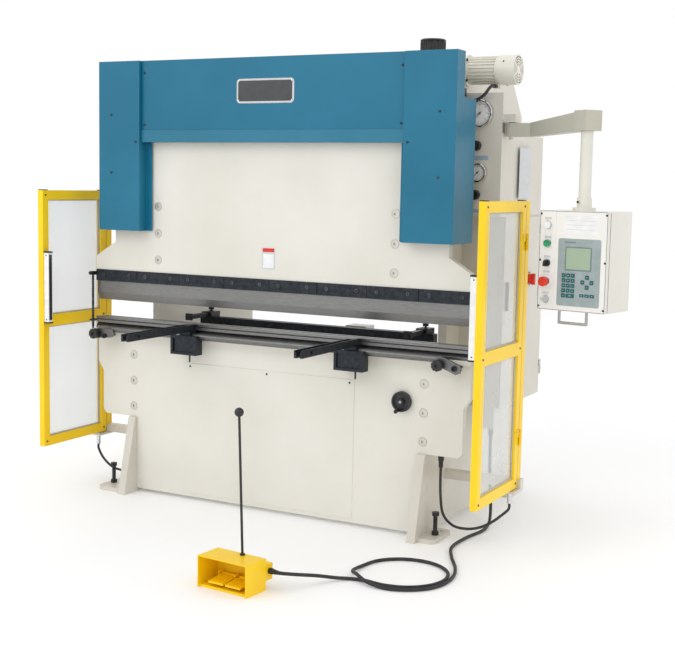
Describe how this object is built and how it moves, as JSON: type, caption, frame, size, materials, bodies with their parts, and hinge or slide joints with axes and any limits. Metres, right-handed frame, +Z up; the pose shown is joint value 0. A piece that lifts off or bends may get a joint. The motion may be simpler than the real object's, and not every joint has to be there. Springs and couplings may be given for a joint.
{
  "type": "sheet metal brake",
  "caption": "Hydraulic sheet metal brake with a blue-covered upper beam, yellow side guards, swinging control pendant and foot pedal.",
  "frame": {"origin": "on the floor, at the centre of the four anchor holes in the foot pads", "axes": "+X along the beam to the operator's right, +Y from the operator into the machine, +Z up"},
  "size_m": [2.766, 2.1379, 2.184],
  "materials": {
    "cream_paint": "satin",
    "blue_paint": "satin",
    "yellow_paint": "satin",
    "black_paint": "satin",
    "tool_steel": "satin",
    "bright_steel": "gloss",
    "dark_steel": "satin",
    "black_plastic": "matte",
    "grey_plastic": "satin",
    "clear_panel": "gloss",
    "white_plastic": "gloss",
    "green_plastic": "gloss",
    "red_plastic": "gloss",
    "cable_rubber": "matte"
  },
  "bodies": {
    "frame": {"side_plates": "cream_paint", "bed_plate": "cream_paint", "die_block": "tool_steel", "frame_fasteners": "dark_steel", "rear_frame": "cream_paint", "oil_tank": "cream_paint", "left_cover": "blue_paint", "right_cover": "blue_paint", "centre_cover": "blue_paint", "cylinder_barrels": "black_paint", "motor_housing": "cream_paint", "hydraulic_block": "black_paint", "side_enclosure": "cream_paint", "pressure_gauges": "black_plastic", "electrical_cabinet": "cream_paint", "guard_posts": "yellow_paint", "front_rail": "tool_steel", "pedal_housing": "yellow_paint", "carry_rod": "dark_steel", "pedal_cable": "cable_rubber", "right_guard_cable": "cable_rubber", "left_guard_cable": "cable_rubber", "cable_glands": "black_plastic"},
    "ram": {"ram_plate": "cream_paint", "ram_screws": "dark_steel", "punch_clamps": "black_paint", "punch": "tool_steel", "piston_rods": "bright_steel", "scale_rod": "dark_steel"},
    "levelling_shaft": {"torsion_shaft": "black_paint"},
    "rotor": {"motor_rotor": "tool_steel"},
    "big_needle": {"large_needle": "dark_steel"},
    "little_needle": {"small_needle": "dark_steel"},
    "upper_knob": {"upper_valve_knob": "black_plastic"},
    "lower_knob": {"lower_valve_knob": "black_plastic"},
    "door": {"cabinet_door": "cream_paint"},
    "isolator": {"main_switch": "red_plastic"},
    "arm": {"pendant_arm": "cream_paint"},
    "pendant": {"pendant_post": "cream_paint", "pendant_box": "cream_paint"},
    "white_push": {"white_button": "white_plastic"},
    "green_push": {"start_button": "green_plastic"},
    "selector": {"mode_selector": "black_plastic"},
    "red_push": {"stop_button": "red_plastic"},
    "key": {"key_switch": "bright_steel"},
    "left_guard": {"left_guard_frame": "yellow_paint", "left_guard_panels": "clear_panel", "left_light_curtain": "grey_plastic"},
    "right_guard": {"right_guard_frame": "yellow_paint", "right_guard_panels": "clear_panel", "right_light_curtain": "grey_plastic"},
    "back_gauge": {"gauge_beam": "black_paint"},
    "screw": {"gauge_screw": "tool_steel"},
    "left_star": {"left_star_knob": "black_plastic"},
    "right_star": {"right_star_knob": "black_plastic"},
    "left_support": {"left_support_arm": "black_paint"},
    "right_support": {"right_support_arm": "black_paint"},
    "wheel": {"handwheel": "black_plastic"},
    "pedal_one": {"left_pedal": "yellow_paint"},
    "pedal_two": {"right_pedal": "yellow_paint"}
  },
  "joints": [
    {"name": "ram_slide", "type": "slide", "parent": "frame", "child": "ram", "axis": [0, 0, 1], "range_m": [-0.085, 0]},
    {"name": "levelling_turn", "type": "hinge", "parent": "frame", "child": "levelling_shaft", "pos_m": [0, -0.28, 1.3005], "axis": [1, 0, 0], "range_deg": [-2, 34]},
    {"name": "rotor_spin", "type": "hinge", "parent": "frame", "child": "rotor", "pos_m": [0.9, -0.16, 2.044], "axis": [1, 0, 0], "continuous": true},
    {"name": "large_needle_turn", "type": "hinge", "parent": "frame", "child": "big_needle", "pos_m": [0.9, -0.252, 1.853], "axis": [0, 1, 0], "range_deg": [0, 270], "stiffness_Nm_per_rad": 0.01, "springref_deg": -5.73},
    {"name": "small_needle_turn", "type": "hinge", "parent": "frame", "child": "little_needle", "pos_m": [0.898, -0.252, 1.596], "axis": [0, 1, 0], "range_deg": [0, 270], "stiffness_Nm_per_rad": 0.01, "springref_deg": -5.73},
    {"name": "upper_knob_turn", "type": "hinge", "parent": "frame", "child": "upper_knob", "pos_m": [0.888, -0.26, 1.714], "axis": [0, 1, 0], "range_deg": [-180, 180]},
    {"name": "lower_knob_turn", "type": "hinge", "parent": "frame", "child": "lower_knob", "pos_m": [0.888, -0.26, 1.5], "axis": [0, 1, 0], "range_deg": [-180, 180]},
    {"name": "cabinet_door_swing", "type": "hinge", "parent": "frame", "child": "door", "pos_m": [1.006, 0.3755, 0.975], "axis": [0, 0, 1], "range_deg": [0, 110]},
    {"name": "main_switch_turn", "type": "hinge", "parent": "door", "child": "isolator", "pos_m": [1.01, 0.156, 1.113], "axis": [1, 0, 0], "range_deg": [0, 90]},
    {"name": "pendant_swing", "type": "hinge", "parent": "frame", "child": "arm", "pos_m": [1.028, -0.195, 1.78], "axis": [0, 0, 1], "range_deg": [-10, 85]},
    {"name": "pendant_swivel", "type": "hinge", "parent": "arm", "child": "pendant", "pos_m": [1.432, -0.41, 1.6], "axis": [0, 0, 1], "range_deg": [-60, 60]},
    {"name": "white_press", "type": "slide", "parent": "pendant", "child": "white_push", "axis": [0.1908, 0.9816, 0], "range_m": [0, 0.004], "stiffness_N_per_m": 400, "springref_m": -0.004},
    {"name": "start_press", "type": "slide", "parent": "pendant", "child": "green_push", "axis": [0.1908, 0.9816, 0], "range_m": [0, 0.004], "stiffness_N_per_m": 400, "springref_m": -0.004},
    {"name": "mode_turn", "type": "hinge", "parent": "pendant", "child": "selector", "pos_m": [1.30388, -0.47169, 1.232], "axis": [0.1908, 0.9816, 0], "range_deg": [-45, 45]},
    {"name": "stop_press", "type": "slide", "parent": "pendant", "child": "red_push", "axis": [0.1908, 0.9816, 0], "range_m": [0, 0.005], "stiffness_N_per_m": 400, "springref_m": -0.004},
    {"name": "key_turn", "type": "hinge", "parent": "pendant", "child": "key", "pos_m": [1.30388, -0.47169, 1.083], "axis": [0.1908, 0.9816, 0], "range_deg": [0, 90]},
    {"name": "left_guard_swing", "type": "hinge", "parent": "frame", "child": "left_guard", "pos_m": [-1.152, -0.2875, 0.855], "axis": [0, 0, 1], "range_deg": [-95, 0]},
    {"name": "right_guard_swing", "type": "hinge", "parent": "frame", "child": "right_guard", "pos_m": [1.152, -0.2875, 0.855], "axis": [0, 0, 1], "range_deg": [0, 25]},
    {"name": "gauge_slide", "type": "slide", "parent": "frame", "child": "back_gauge", "axis": [0, 1, 0], "range_m": [-0.15, 0.35]},
    {"name": "gauge_screw_turn", "type": "hinge", "parent": "frame", "child": "screw", "pos_m": [0, -0.01, 0.757], "axis": [0, 1, 0], "range_deg": [-5401, 12601]},
    {"name": "left_star_turn", "type": "hinge", "parent": "frame", "child": "left_star", "pos_m": [-0.95, -0.588, 0.784], "axis": [0, 1, 0], "range_deg": [-180, 180]},
    {"name": "right_star_turn", "type": "hinge", "parent": "frame", "child": "right_star", "pos_m": [0.88, -0.588, 0.784], "axis": [0, 1, 0], "range_deg": [-180, 180]},
    {"name": "left_support_slide", "type": "slide", "parent": "frame", "child": "left_support", "axis": [1, 0, 0], "range_m": [-0.35, 0.25]},
    {"name": "right_support_slide", "type": "slide", "parent": "frame", "child": "right_support", "axis": [1, 0, 0], "range_m": [-0.2, 0.31]},
    {"name": "handwheel_turn", "type": "hinge", "parent": "frame", "child": "wheel", "pos_m": [0.682, -0.51, 0.598], "axis": [0, 1, 0], "continuous": true},
    {"name": "left_pedal_press", "type": "hinge", "parent": "frame", "child": "pedal_one", "pos_m": [0.41062, -1.44794, 0.034], "axis": [0.9945, -0.1045, 0], "range_deg": [0, 6], "stiffness_Nm_per_rad": 4, "springref_deg": -17.19},
    {"name": "right_pedal_press", "type": "hinge", "parent": "frame", "child": "pedal_two", "pos_m": [0.49217, -1.45652, 0.034], "axis": [0.9945, -0.1045, 0], "range_deg": [0, 6], "stiffness_Nm_per_rad": 4, "springref_deg": -17.19}
  ],
  "couplings": [
    {"joint": "levelling_turn", "follows": "ram_slide", "rad_per_m": -6.7592},
    {"joint": "gauge_screw_turn", "follows": "gauge_slide", "rad_per_m": 628.32}
  ]
}
